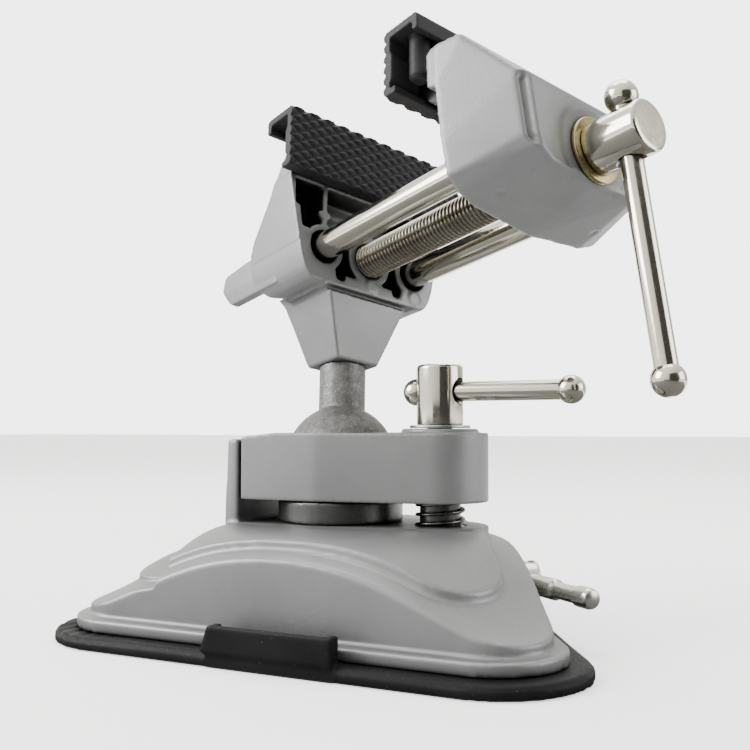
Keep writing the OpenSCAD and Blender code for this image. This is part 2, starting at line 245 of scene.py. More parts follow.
def y_axis(y, x=0.0, z=ROD_Z):
    """Head frame, local Z pointing along -Y from station y."""
    return HEAD @ Matrix.Translation((x, y, z)) @ Matrix.Rotation(math.radians(90), 4, "X")


# ---------------------------------------------------------------- materials
def material(name, dark, light, metallic, rough, grain=900.0, bump=0.25, depth=0.00006, cloud=45.0,
             rough_span=0.08, specks=None, coat=0.0, detail=6.0, streak=None, edge=None, specular=0.5, recess_painted_shade=None):
    m = bpy.data.materials.new(name)
    m.use_nodes = True
    nt = m.node_tree
    nt.nodes.clear()
    add = nt.nodes.new
    link = nt.links.new
    out = add("ShaderNodeOutputMaterial")
    sh = add("ShaderNodeBsdfPrincipled")
    link(sh.outputs[0], out.inputs[0])
    sh.inputs["Metallic"].default_value = metallic
    for key in ("Specular IOR Level", "Specular"):
        if key in sh.inputs:
            sh.inputs[key].default_value = specular
    if coat and "Coat Weight" in sh.inputs:
        sh.inputs["Coat Weight"].default_value = coat
        sh.inputs["Coat Roughness"].default_value = 0.25
    tc = add("ShaderNodeTexCoord")
    vec = tc.outputs["Object"]
    if streak:
        mp = add("ShaderNodeMapping")
        mp.inputs["Scale"].default_value = streak
        link(vec, mp.inputs["Vector"])
        svec = mp.outputs[0]
    else:
        svec = vec
    big = add("ShaderNodeTexNoise")
    big.inputs["Scale"].default_value = cloud
    big.inputs["Detail"].default_value = detail
    big.inputs["Roughness"].default_value = 0.6
    link(vec, big.inputs["Vector"])
    ramp = add("ShaderNodeValToRGB")
    ramp.color_ramp.elements[0].position = 0.32
    ramp.color_ramp.elements[0].color = (*dark, 1)
    ramp.color_ramp.elements[1].position = 0.68
    ramp.color_ramp.elements[1].color = (*light, 1)
    link(big.outputs["Fac"], ramp.inputs["Fac"])
    colour = ramp.outputs["Color"]
    fine = add("ShaderNodeTexNoise")
    fine.inputs["Scale"].default_value = grain
    fine.inputs["Detail"].default_value = 4.0
    fine.inputs["Roughness"].default_value = 0.62
    link(svec, fine.inputs["Vector"])
    if specks:
        lo, hi, tone = specks
        sp = add("ShaderNodeTexNoise")
        sp.inputs["Scale"].default_value = grain * 1.3
        sp.inputs["Detail"].default_value = 2.0
        link(vec, sp.inputs["Vector"])
        sr = add("ShaderNodeValToRGB")
        sr.color_ramp.elements[0].position = lo
        sr.color_ramp.elements[0].color = (0, 0, 0, 1)
        sr.color_ramp.elements[1].position = hi
        sr.color_ramp.elements[1].color = (1, 1, 1, 1)
        link(sp.outputs["Fac"], sr.inputs["Fac"])
        mix = add("ShaderNodeMix")
        mix.data_type = "RGBA"
        link(sr.outputs["Color"], mix.inputs[0])
        link(colour, mix.inputs[6])
        mix.inputs[7].default_value = (*tone, 1)
        colour = mix.outputs[2]
    if edge:
        geo = add("ShaderNodeNewGeometry")
        er = add("ShaderNodeValToRGB")
        er.color_ramp.elements[0].position = 0.555
        er.color_ramp.elements[0].color = (0, 0, 0, 1)
        er.color_ramp.elements[1].position = 0.68
        er.color_ramp.elements[1].color = (1, 1, 1, 1)
        link(geo.outputs["Pointiness"], er.inputs["Fac"])
        mx = add("ShaderNodeMix")
        mx.data_type = "RGBA"
        link(er.outputs["Color"], mx.inputs[0])
        link(colour, mx.inputs[6])
        mx.inputs[7].default_value = (*edge, 1)
        colour = mx.outputs[2]
    # painted shade: an ambient occlusion node darkens the base colour in recesses, creases and between parts, where
    # shade falls
    if recess_painted_shade:
        ao = add("ShaderNodeAmbientOcclusion")
        ao.samples = 6
        ao.inputs["Distance"].default_value = recess_painted_shade[0]
        ar = add("ShaderNodeValToRGB")
        ar.color_ramp.elements[0].position = recess_painted_shade[1]
        ar.color_ramp.elements[0].color = (recess_painted_shade[2],) * 3 + (1,)
        ar.color_ramp.elements[1].position = recess_painted_shade[3]
        ar.color_ramp.elements[1].color = (1, 1, 1, 1)
        link(ao.outputs["AO"], ar.inputs["Fac"])
        mu = add("ShaderNodeMix")
        mu.data_type = "RGBA"
        mu.blend_type = "MULTIPLY"
        mu.inputs[0].default_value = 1.0
        link(colour, mu.inputs[6])
        link(ar.outputs["Color"], mu.inputs[7])
        colour = mu.outputs[2]
    link(colour, sh.inputs["Base Color"])
    mr = add("ShaderNodeMapRange")
    mr.inputs["From Min"].default_value = 0.3
    mr.inputs["From Max"].default_value = 0.7
    mr.inputs["To Min"].default_value = max(0.02, rough - rough_span)
    mr.inputs["To Max"].default_value = rough + rough_span
    link(fine.outputs["Fac"], mr.inputs["Value"])
    link(mr.outputs[0], sh.inputs["Roughness"])
    bp = add("ShaderNodeBump")
    bp.inputs["Strength"].default_value = bump
    bp.inputs["Distance"].default_value = depth
    link(fine.outputs["Fac"], bp.inputs["Height"])
    link(bp.outputs[0], sh.inputs["Normal"])
    return m


# Materials given an occlusion tuple below get painted shade: their colour darkens in hollows, thread roots, knurl
# grooves and where parts meet
CAST = material("cast_silver", (0.222, 0.228, 0.228), (0.266, 0.273, 0.272), 0.62, 0.43, grain=1500, bump=0.30,
                depth=0.00012, cloud=30, edge=(0.36, 0.365, 0.36), recess_painted_shade=(0.009, 0.30, 0.22, 0.72))
# The jaws' copy of the cast silver paints much deeper shade: its occlusion darkens the jaw pockets almost to black
JAW_DEEP_PAINTED_SHADE = material("cast_silver_jaw_deep_painted_shade", (0.222, 0.228, 0.228), (0.266, 0.273, 0.272), 0.62, 0.43, grain=1500, bump=0.30,
               depth=0.00012, cloud=30, edge=(0.33, 0.335, 0.33), recess_painted_shade=(0.017, 0.44, 0.03, 0.80))
BARE = material("bare_cast", (0.10, 0.10, 0.097), (0.19, 0.19, 0.183), 0.55, 0.48, grain=1300, bump=0.55, depth=0.00022,
                cloud=500, specks=(0.60, 0.70, (0.32, 0.32, 0.30)))
NICKEL = material("bright_nickel", (0.68, 0.645, 0.54), (0.75, 0.715, 0.61), 1.0, 0.14, recess_painted_shade=(0.0035, 0.25, 0.12, 0.80), grain=700, bump=0.05, depth=0.00004,
                  cloud=60, rough_span=0.04)
STEEL = material("satin_steel", (0.42, 0.42, 0.40), (0.55, 0.55, 0.53), 1.0, 0.32, grain=1500, bump=0.12, depth=0.00005, cloud=80)
SCREW = material("thread_steel", (0.31, 0.285, 0.225), (0.46, 0.43, 0.355), 1.0, 0.22, recess_painted_shade=(0.0018, 0.35, 0.10, 0.90), grain=1200, bump=0.10, depth=0.00005, cloud=120)
ZINC = material("yellow_zinc", (0.33, 0.275, 0.12), (0.47, 0.415, 0.22), 1.0, 0.30, grain=900, bump=0.10, depth=0.00004, cloud=160)
RUBBER = material("black_rubber", (0.0038, 0.0038, 0.0042), (0.0075, 0.0075, 0.0082), 0.0, 0.52, specular=0.16, grain=1500, bump=0.28,
                  depth=0.00012, cloud=60, specks=(0.71, 0.76, (0.07, 0.07, 0.07)), recess_painted_shade=(0.002, 0.2, 0.25, 0.8))
COVER = material("moulded_cover", (0.013, 0.013, 0.014), (0.022, 0.022, 0.023), 0.0, 0.52, specular=0.25, grain=1500, bump=0.25,
                 depth=0.00010, cloud=80, recess_painted_shade=(0.0013, 0.60, 0.05, 0.95))
NYLON = material("black_nylon", (0.012, 0.012, 0.012), (0.022, 0.022, 0.022), 0.0, 0.5, specular=0.3, grain=900, bump=0.1, cloud=90)
SEAT = material("machined_grey", (0.085, 0.085, 0.084), (0.13, 0.13, 0.128), 0.85, 0.34, grain=1200, bump=0.12, depth=0.00005, cloud=70,
                recess_painted_shade=(0.004, 0.2, 0.4, 0.8))
SPRING = material("spring_steel", (0.10, 0.10, 0.095), (0.24, 0.23, 0.21), 1.0, 0.30, grain=1400, bump=0.1, cloud=200)
LEVER = material("lever_nickel", (0.60, 0.58, 0.53), (0.70, 0.68, 0.63), 1.0, 0.27, grain=600, bump=0.02, depth=0.00002, rough_span=0.02, cloud=60)


def paint(obj, mat):
    obj.data.materials.clear()
    obj.data.materials.append(mat)
    for p in obj.data.polygons:
        p.material_index = 0


def piece(obj, mat, body, *nodes, slot=None):
    paint(obj, mat)
    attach(obj, body)
    if nodes:
        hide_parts(*nodes)
    return obj


SLOT_MAT = {"rubber": RUBBER, "steel": STEEL, "bright": NICKEL, "casting": CAST, "bare_casting": BARE,
            "nylon": NYLON, "spring_steel": SPRING, "zinc": ZINC}
for sub in frame["record"]["subparts"]:
    node = NODES[sub["node"]]
    node.data.materials.clear()
    node.data.materials.append(SLOT_MAT[sub["material_slot"]])
    for p in node.data.polygons:
        p.material_index = 0


# ---------------------------------------------------------------- castings
def housing():
    # the upright wall thickens outwards towards its foot
    wall = solid("wall", [(-38.6, -13.2, 25), (-34, -13.2, 25), (-34, 25.2, 25), (-38.6, 25.2, 25),
                          (-37.2, -13.0, 56.9), (-34, -13.0, 56.9), (-34, 25.0, 56.9), (-37.2, 25.0, 56.9)])

    def lower(co, no):
        """The deck dips towards the foot of the upright wall."""
        x, z = co[:, 0], co[:, 2]
        k = np.exp(-((np.minimum(x, -38.0) + 38.0) / 13.0) ** 2) * np.clip((-37.4 - x) / 1.2, 0, 1)
        k = k * np.clip((z - 15.0) / 9.0, 0, 1) * np.clip((40.0 - z) / 7.0, 0, 1)
        co[:, 2] = z - 4.6 * k
        return co
    piece(soften("base_housing", "Housing", 0.6, 4, lower, parts=[wall]), CAST, "base", "base_housing", slot="casting")


def plate():
    piece(soften("clamp_plate", "Clamp_plate", 0.42, 6), CAST, "plate", "clamp_plate", slot="casting")


def jaws():
    hm = np.array(HEAD)
    inv = np.linalg.inv(hm)

    def narrow(co, no):
        """Draws the rear casting's ends in, outside the rods."""
        h = co @ inv[:3, :3].T + inv[:3, 3]
        x, y, z = h[:, 0], h[:, 1], h[:, 2]
        w = np.interp(z, [50, 58, 84, 92], [27.0, 29.0, 34.0, 34.0])
        t = w - 2.5 * np.interp(z, [44, 84, 93], [1.0, 1.0, 0.4])
        ax = np.abs(x)
        k = np.where(ax > 22.6, 22.6 + (ax - 22.6) * (t - 22.6) / (w - 22.6), ax)
        # the lower corners follow the rods' bosses
        dx, dz = k - 17.9, z - 62.3
        r = np.hypot(dx, dz)
        low = (dx > 0) & (dz < 0) & (r > 9.0) & (z > 46)
        f = np.where(low, (9.0 + (r - 9.0) * 0.75) / np.maximum(r, 1e-6), 1.0)
        k, z = np.where(low, 17.9 + dx * f, k), np.where(low, 62.3 + dz * f, z)
        # the socket's back face leans less than its front
        t = np.interp(z, [30, 50, 57], [0, 0.87, 0.0]) * np.clip((22 - k) / 3, 0, 1)
        y = y - 3.2 * t * np.clip((y - 2) / 8, 0, 1)
        h = np.column_stack([np.sign(x) * k, y, z])
        return h @ hm[:3, :3].T + hm[:3, 3]

    side = HEAD @ Matrix(((0, 0, 1, 0), (1, 0, 0, 0), (0, 1, 0, 0), (0, 0, 0, 1)))  # outline in YZ, raised along X
    tools = []
    for a, b in ((-31.2, -18.8), (-17.0, 17.0), (18.8, 31.2)):
        tools.append(prism("t", [(-22, 74), (-4.0, 74), (-4.6, 82.3), (-22, 82.3)], a, b, side))
    for a, b in ((-40, -24), (24, 40)):
        tools.append(prism("t", [(-22, 91.4), (-13.4, 91.4), (-10.4, 89.6), (-3.0, 82.6), (12, 82.6), (12, 110), (-22, 110)], a, b, side))
    parts = []
    for a, b in ((-33.4, -23.5), (23.5, 33.4)):
        parts.append(prism("p", [(-13.5, 82), (-3.6, 82), (-3.4, 83.0), (-10.4, 89.6), (-13.3, 91.4), (-13.5, 91.4)], a, b, side))
    # shallow recess between the rim and the socket
    tools.append(prism("t", [(-22, 49.4), (-11.6, 49.4), (-11.6, 50.9), (-22, 50.9)], -16.5, 18, side))
    tools.append(prism("t", [(-22, 48.5), (-13.4, 48.5), (-13.4, 50.9), (-22, 50.9)], -32, 32, side))
    across = HEAD @ Matrix(((1, 0, 0, 0), (0, 0, 1, 0), (0, 1, 0, 0), (0, 0, 0, 1)))  # outline in XZ, raised along Y
    for q in (-1, 1):
        # the rod's boss runs out into the corner of the jaw
        v, f = lathe([(0, 3.6), (7.4, 3.6), (7.4, 13.5), (0, 13.5)], 64)
        parts.append(make("p", v, f, y_axis(0, q * ROD_X)))
        pts = [(24.6, 67.2), (29.6, 67.2), (28.4, 58.6), (26.6, 53.6), (22.4, 51.2), (14.2, 51.2), (12.6, 52.6), (13.6, 57.6), (18, 60)]
        parts.append(prism("p", [(q * a, b) for a, b in pts], -13.5, -3.6, across))
        tools.append(cylinder_tool(5.15, 9.0, HEAD @ Matrix.Translation((q * ROD_X, -13.6, ROD_Z)) @ Matrix.Rotation(math.radians(90), 4, "X")))
    for x in (0.9, 18.6):
        # round marks left by the mould
        v, f = lathe([(0, 12.8), (2.3, 12.8), (2.3, 13.95), (0, 13.95)], 40)
        parts.append(make("p", v, f, y_axis(0, x, 54.1)))
    piece(soften("rear_jaw", "Rear_jaw", 0.42, 5, narrow, parts=parts, tools=tools), JAW_DEEP_PAINTED_SHADE, "rear", "rear_jaw", slot="casting")

    parts = []
    for x in (-ROD_X, ROD_X):
        v, f = lathe([(0, 8.5), (4.5, 8.5), (4.5, 17.2), (0, 17.2)], 48)
        parts.append(make("p", v, f, y_axis(-80, x)))
        lo = [(x - 1.3, -89.3, 51.75), (x + 1.3, -89.3, 51.75), (x + 1.3, -86.7, 51.05), (x - 1.3, -86.7, 51.05)]
        parts.append(solid("p", lo + [(a, b, 60) for a, b, c in lo], HEAD))
        q = 1 if x > 0 else -1
        lo = [(q * a, b, 55.6) for a, b in ((19.5, -86.7), (26.4, -86.7), (26.4, -79.5), (19.5, -79.5))]
        parts.append(solid("p", lo + [(a, b, 61) for a, b, c in lo], HEAD))
    tools = [prism("t", [(-76.5, 70), (-60, 70), (-60, 104), (-76.5, 104)], a, b, side) for a, b in ((-40, -24), (24, 40))]
    tools += [prism("t", [(-80.0, 70), (-70, 70), (-70, 78.4), (-80.0, 78.4)], a, b, side) for a, b in ((-40, -24), (24, 40))]

    def crease(co, no):
        """A soft groove where the side meets the nose, and a faint groove round the washer's seat."""
        h = co @ inv[:3, :3].T + inv[:3, 3]
        x, y, z = h[:, 0], h[:, 1], h[:, 2]
        nx = np.interp(z, [55, 57.2, 60, 74.8], [19.0, 21.0, 22.8, 25.2])
        d = np.hypot(np.abs(x) - nx + 0.5, (y + 102.7))
        along = np.clip((z - 57.0) / 2.5, 0, 1) * np.clip((76.0 - z) / 1.6, 0, 1)
        g = 2.1 * np.exp(-(d / 1.3) ** 2) * along
        h[:, 0] -= np.sign(x) * 0.55 * g
        h[:, 1] += 0.84 * g
        # shadow line round the washer's seat
        r = np.hypot(x, z - 62.3)
        g = 0.35 * np.exp(-((r - 11.6) / 1.6) ** 2) * (y < -101.5)
        h[:, 1] += g
        return h @ hm[:3, :3].T + hm[:3, 3]

    piece(soften("front_jaw", "Front_jaw", 0.45, 6, crease, parts=parts, tools=tools), JAW_DEEP_PAINTED_SHADE, "front", "front_jaw", slot="casting")


# ---------------------------------------------------------------- rubber
def knurl(x, z):
    """Depth of the grooves between diamonds on the grip face, in millimetres."""
    px, pz = 5.8, 3.3
    u, v = x / px + z / pz, x / px - z / pz
    a, b = abs(u - math.floor(u) - 0.5) * 2, abs(v - math.floor(v) - 0.5) * 2
    d = 1 - max(a, b)
    return 0.95 * (1 - min(1.0, d / 0.5))


def cover(name, y0, sgn, body, node):
    """Moulded jaw cover: knurled grip wall, top and a lip over the jaw's tongue."""
    w, lo, hi = 35.0, 83.1, 103.1
    nx, nz = 232, 68
    verts, faces = [], []
    for j in range(nz + 1):
        z = lo + (hi - lo) * j / nz
        for i in range(nx + 1):
            x = -w + 2 * w * i / nx
            verts.append((x, knurl(x, z - 93.1), z))
    row = nx + 1
    for j in range(nz):
        for i in range(nx):
            a = j * row + i
            faces.append((a, a + 1, a + row + 1, a + row))
    base = len(verts)
    for j in range(nz + 1):
        z = lo + (hi - lo) * j / nz
        for i in range(nx + 1):
            verts.append((-w + 2 * w * i / nx, 2.6, z))
    for j in range(nz):
        for i in range(nx):
            a = base + j * row + i
            faces.append((a, a + row, a + row + 1, a + 1))
    ring = ([i for i in range(nx)] + [j * row + nx for j in range(nz)] + [nz * row + i for i in range(nx, 0, -1)]
            + [j * row for j in range(nz, 0, -1)])
    for k in range(len(ring)):
        a, b = ring[k], ring[(k + 1) % len(ring)]
        faces.append((a, base + a, base + b, b))
    # the hook behind the grip wall
    top = rounded([(1.6, 103.1), (7, 103.1), (13.7, 103.1), (13.7, 98.0), (11.6, 98.0), (11.6, 100.7), (1.6, 100.7)],
                  [0, 0, 1.2, 0.6, 0.4, 0.8, 0], 4)
    foot = rounded([(1.6, 83.1), (4.9, 83.1), (4.9, 85.2), (1.6, 85.2)], [0, 0.5, 0.5, 0], 4)
    wide = rounded([(1.6, 96.6), (2.6, 96.6), (3.4, 95.0), (3.4, 88.0), (2.6, 86.6), (1.6, 86.6)], [0] * 6, 4)
    blocks = [(top, -w, w), (foot, -w, w), (wide, -w, -24.6), (wide, 24.6, w)]
    for sec, x0, x1 in blocks:
        s0 = len(verts)
        for x in (x0, x1):
            verts += [(x, y, z) for y, z in sec]
        n = len(sec)
        faces.append(tuple(range(s0, s0 + n)))
        faces.append(tuple(range(s0 + 2 * n - 1, s0 + n - 1, -1)))
        for k in range(n):
            j = (k + 1) % n
            faces.append((s0 + k, s0 + n + k, s0 + n + j, s0 + j))
    if sgn < 0:
        # a round post under the top near each end
        for cx in (-28.6, 28.6):
            pv, pf = lathe([(0, 87.2), (2.0, 87.2), (2.9, 88.4), (2.9, 101.5), (0, 101.5)], 40)
            s0 = len(verts)
            verts += [(cx + a, 7.6 + b, c) for a, b, c in pv]
            faces += [tuple(i + s0 for i in q) for q in pf]
    mesh_verts = [(x, y0 + sgn * y, z) for x, y, z in verts]
    obj = make(name, mesh_verts, faces, HEAD)
    m = obj.modifiers.new("remesh", "REMESH")
    m.mode = "VOXEL"
    m.voxel_size = 0.00033
    m.use_smooth_shade = True
    s = obj.modifiers.new("smooth", "SMOOTH")
    s.factor = 0.4
    s.iterations = 2
    freeze(obj)
    for p in obj.data.polygons:
        p.use_smooth = True
    clamp(obj, node)
    piece(obj, COVER, body, node, slot="rubber")


def pads():
    cover("Rear_cover", FACE_R, 1, "rear", "rear_jaw_pad")
    cover("Front_cover", FACE_F, -1, "front", "front_jaw_pad")


def suction():
    def wrinkle(co, no):
        x, y, z = co[:, 0], co[:, 1], co[:, 2]
        w = np.exp(-((x + 66) ** 2 + (y + 34) ** 2) / 260.0)
        h = 0.55 * w * (np.sin(x * 1.35 + 0.8 * np.sin(y * 0.35)) - 0.6)
        h += 0.12 * np.sin(x * 0.11 + 1.3) * np.sin(y * 0.13) - 0.12
        co[:, 2] = z + np.where((no[:, 2] > 0.4) & (z > 1.2) & (z < 4.5), h, 0.0)
        # the lift tab stands on the pad's front edge and widens towards its foot
        tab = (x > -14.2) & (x < 23.2) & (y < -51.8)
        y1 = np.where(y < -55.8, -56.5 + (y + 59.2) * 0.62, y + 1.4 * np.clip((-52.2 - y) / 3.6, 0, 1))
        up = np.clip((z - 2.9) / 0.9, 0, 1)
        foot = np.maximum(y, -56.0)
        co[:, 1] = np.where(tab, foot + (y1 - foot) * up, y)
        co[:, 0] = np.where(tab & (z > 2.9), x - 2.2 * (10.5 - z) / 7.0 * np.clip((22.5 - x) / 36.0, 0, 1) * up, x)
        return co
    piece(soften("suction_pad", "Suction_pad", 0.6, 4, wrinkle), RUBBER, "base", "suction_pad", slot="rubber")


# ---------------------------------------------------------------- turned and threaded parts
def threaded(length, r, pitch, depth, per=10, seg=56, relief=None, chamfer=1.2):
    """Closed threaded rod about Z from 0 to length."""
    verts, faces = [(0, 0, 0)], []
    rows = int(length / pitch * per)
    for j in range(rows + 1):
        h = length * j / rows
        for i in range(seg):
            a = 2 * math.pi * i / seg
            t = (h / pitch - i / seg) % 1.0
            f = 0.5 - 0.5 * math.cos(2 * math.pi * t)
            f = f ** 0.75
            rr = r - depth * (1 - f)
            e = min(h, length - h)
            rr = min(rr, r - chamfer + e * 0.9) if e < chamfer * 1.2 else rr
            if relief and relief[0] < h < relief[1]:
                rr = min(rr, relief[2])
            verts.append((rr * math.cos(a), rr * math.sin(a), h))
    verts.append((0, 0, length))
    for i in range(seg):
        faces.append((0, 1 + (i + 1) % seg, 1 + i))
    for j in range(rows):
        for i in range(seg):
            a, b = 1 + j * seg + i, 1 + j * seg + (i + 1) % seg
            faces.append((a, b, b + seg, a + seg))
    top, last = len(verts) - 1, 1 + rows * seg
    for i in range(seg):
        faces.append((top, last + i, last + (i + 1) % seg))
    return verts, faces


def cylinder_tool(r, length, place, seg=64):
    v, f = lathe([(0, -length / 2), (r, -length / 2), (r, length / 2), (0, length / 2)], seg)
    return make("tool", v, f, place)


def cone_tool(r0, r1, h0, h1, place, seg=64):
    v, f = lathe([(0, h0), (r0, h0), (r1, h1), (0, h1)], seg)
    return make("tool", v, f, place)


def lead_screw():
    # the thread, from the rear end to just inside the head
    v, f = threaded(12.5 - (WASH_Y - 1.6), 5.5, 1.5, 0.72, relief=(90.6, 91.9, 4.4))
    thread = make("Lead_screw_thread", v, f, y_axis(12.5))
    prof = rounded([(0, 1.3), (5.2, 1.3), (6.85, 1.3), (6.85, 16.8), (5.0, 16.8), (0, 16.8)], [0, 0, 0.35, 1.0, 0, 0], 6)
    v, f = lathe(prof, 128)
    head = make("Lead_screw_head", v, f, y_axis(WASH_Y))
    place = HEAD @ Matrix.Translation((0, BAR_Y, ROD_Z)) @ Matrix.Rotation(BAR_A, 4, "Y")
    cut(head, cylinder_tool(2.93, 40, place), cone_tool(2.5, 4.5, 5.3, 7.3, place), cone_tool(4.5, 2.5, -7.3, -5.3, place))
    by_angle(head, 32)
    piece(thread, SCREW, "lead", "lead_screw", slot="bright")
    piece(head, NICKEL, "lead", slot="bright")


def rods():
    for k, x in enumerate((-ROD_X, ROD_X)):
        v, f = lathe(rounded([(0, 0), (4.3, 0), (4.3, 103.5), (0, 103.5)], [0, 0.7, 0.7, 0], 5), 96)
        obj = by_angle(make("Guide_rod_%d" % (k + 1), v, f, y_axis(12.5, x)))
        piece(obj, NICKEL, "front", *(["guide_rods"] if k == 0 else []), slot="bright")


def bar(name, place, lo, hi, r, body, node, ball_lo, ball_hi, rb, ball_node):
    v, f = lathe([(0, lo), (r, lo), (r, hi), (0, hi)], 80)
    # the bar again, as a plain cylinder in many rings along its length
    n = 60
    prof = [(0, lo)]
    for i in range(n + 1):
        h = lo + (hi - lo) * i / n
        prof.append((r, h))
    prof.append((0, hi))
    v, f = lathe(prof, 80)
    piece(by_angle(make(name, v, f, place)), NICKEL, body, node, slot="bright")
    verts, faces = [], []
    for c in (ball_lo, ball_hi):
        away = -1 if c == ball_lo else 1
        pts = [(0, c - rb)] + [(rb * math.sin(math.pi * i / 40), c - rb * math.cos(math.pi * i / 40)) for i in range(1, 40)] + [(0, c + rb)]
        # a small flat on the outer end
        flat = rb * 0.955
        pts = [(p[0], (min(p[1], c + flat) if away > 0 else max(p[1], c - flat))) for p in pts]
        bv, bf = lathe(pts, 80)
        o = len(verts)
        verts += bv
        faces += [tuple(i + o for i in q) for q in bf]
    piece(by_angle(make(name + "_balls", verts, faces, place), 40), NICKEL, body, ball_node, slot="bright")


def bars():
    place = HEAD @ Matrix.Translation((0, BAR_Y, ROD_Z)) @ Matrix.Rotation(BAR_A, 4, "Y")
    bar("Main_bar", place, 9.75 - 70.2, 9.75, 2.85, "main_bar", "main_bar", 9.45 - 70.2, 10.05, 4.2, "main_bar_balls")
    place = Matrix.Translation((SCR[0], SCR[1], 71.1)) @ Matrix.Rotation(math.radians(-4), 4, "Z") @ Matrix.Rotation(math.radians(90), 4, "Y")
    bar("Clamp_bar", place, -7.7, 40.3, 2.85, "clamp_bar", "clamp_bar", -7.7, 40.3, 4.05, "clamp_bar_balls")


def clamp_screw():
    at = Matrix.Translation((SCR[0], SCR[1], 0))
    v, f = threaded(43.2, 4.0, 1.25, 0.6, per=9, seg=48)
    piece(make("Clamp_screw_thread", v, f, at @ Matrix.Translation((0, 0, 20))), SCREW, "clamp_screw", "clamp_screw", slot="bright")
    prof = rounded([(0, 61.3), (6.85, 61.3), (6.85, 79.1), (0, 79.1)], [0, 0.4, 1.1, 0], 6)
    v, f = lathe(prof, 128)
    head = make("Clamp_screw_head", v, f, at)
    place = at @ Matrix.Translation((0, 0, 71.1)) @ Matrix.Rotation(math.radians(-4), 4, "Z") @ Matrix.Rotation(math.radians(90), 4, "Y")
    sv = [(0, -4.2)] + [(4.2 * math.sin(math.pi * i / 32), -4.2 * math.cos(math.pi * i / 32)) for i in range(1, 32)] + [(0, 4.2)]
    tools = [cylinder_tool(2.93, 40, place)]
    for c in (-7.7, 7.7):
        bv, bf = lathe(sv, 64)
        tools.append(make("tool", bv, bf, place @ Matrix.Translation((0, 0, c))))
    cut(head, *tools)
    piece(by_angle(head, 32), NICKEL, "clamp_screw", slot="bright")
    # plain shoulder inside the spring
    v, f = lathe(rounded([(0, 30.2), (6.05, 30.2), (6.05, 42.8), (0, 42.8)], [0, 0.4, 0.4, 0], 4), 96)
    piece(by_angle(make("Clamp_screw_shoulder", v, f, at)), SEAT, "clamp_screw", slot="bright")
    # flat washer under the head
    prof = rounded([(4.05, 60.35), (9, 60.35), (9, 61.25), (4.05, 61.25), (4.05, 60.35)], [0, 0.25, 0.3, 0, 0], 4)
    v, f = [], []
    seg = 96
    ring = prof[:-1]
    for i in range(seg):
        a = 2 * math.pi * i / seg
        v += [(r * math.cos(a), r * math.sin(a), h) for r, h in ring]
    n = len(ring)
    for i in range(seg):
        for k in range(n):
            a, b = i * n + k, i * n + (k + 1) % n
            c, d = ((i + 1) % seg) * n + (k + 1) % n, ((i + 1) % seg) * n + k
            f.append((a, b, c, d))
    piece(by_angle(make("Clamp_washer", v, f, at)), STEEL, "clamp_washer", "clamp_washer", slot="steel")


def spring():
    """Compression spring with closed ends."""
    turns, z0, z1, R, r = 4.3, 30.70, 42.60, 6.9, 0.52
    n, m = int(turns * 40), 12
    verts, faces = [], []
    for i in range(n + 1):
        t = i / n
        a = 2 * math.pi * turns * t
        # closed end coils
        k = min(1.0, t * turns / 0.9) if t < 0.5 else min(1.0, (1 - t) * turns / 0.9)
        s = t
        z = z0 + (z1 - z0) * (t + (0.02 if t < 0.5 else -0.02) * (1 - k))
        c = Vector((R * math.cos(a), R * math.sin(a), z))
        er = Vector((math.cos(a), math.sin(a), 0))
        ez = Vector((0, 0, 1))
        for j in range(m):
            b = 2 * math.pi * j / m
            verts.append(c + er * (r * math.cos(b)) + ez * (r * math.sin(b)))
    for i in range(n):
        for j in range(m):
            a, b = i * m + j, i * m + (j + 1) % m
            faces.append((a, b, b + m, a + m))
    faces.append(tuple(range(m - 1, -1, -1)))
    faces.append(tuple(range(n * m, n * m + m)))
    piece(by_angle(make("Clamp_spring", verts, faces, Matrix.Translation((SCR[0], SCR[1], 0))), 50), SPRING, "base", "clamp_spring", slot="spring_steel")


def washer():
    prof = rounded([(5.56, 0.05), (8.9, 0.05), (8.9, 1.25), (5.56, 1.25), (5.56, 0.05)], [0, 0.3, 0.45, 0, 0], 5)[:-1]
    v, f, seg, n = [], [], 96, len(prof)
    for i in range(seg):
        a = 2 * math.pi * i / seg
        v += [(r * math.cos(a), r * math.sin(a), h) for r, h in prof]
    for i in range(seg):
        for k in range(n):
            j = (i + 1) % seg
            f.append((i * n + k, i * n + (k + 1) % n, j * n + (k + 1) % n, j * n + k))
    piece(by_angle(make("Screw_washer", v, f, y_axis(WASH_Y))), ZINC, "front", "screw_washer", slot="zinc")


def lever():
    turn = Matrix.Rotation(math.radians(30), 4, "Z")
    hub = Matrix.Translation((0, 0, 14)) @ turn @ Matrix.Rotation(math.radians(90), 4, "Y")
    v, f = lathe(rounded([(0, 47), (6, 47), (6, 55.4), (0, 55.4)], [0, 0.6, 0.9, 0], 5), 96)
    h = by_angle(make("Lever_hub", v, f, hub))
    grip = turn @ Matrix.Translation((51.2, 0, 14)) @ Matrix.Rotation(math.radians(-70), 4, "Z") @ Matrix.Rotation(math.radians(90), 4, "Y")
    prof = rounded([(0, 0), (3.05, 0), (3.05, 17.2), (2.4, 18.0), (2.4, 27.6), (2.95, 28.3), (2.95, 33.0), (2.6, 34.2), (0, 35.0)],
                   [0, 0, 0.3, 0.3, 0.3, 0.3, 0.8, 0.8, 0], 4)
    v, f = lathe(prof, 80)
    g = by_angle(make("Lever_handle", v, f, grip))
    piece(h, LEVER, "lever", "lever", slot="bright")
    piece(g, LEVER, "lever", slot="bright")


def stem():
    piece(soften("ball_stem", "Ball_stem", 0.42, 3), BARE, "stem", "ball_stem", slot="bare_casting")
    piece(soften("ball_seat", "Ball_seat", 0.5, 3), SEAT, "seat", "ball_seat", slot="steel")


housing()
plate()
jaws()
pads()
suction()
lead_screw()
rods()
bars()
clamp_screw()
spring()
washer()
lever()
stem()


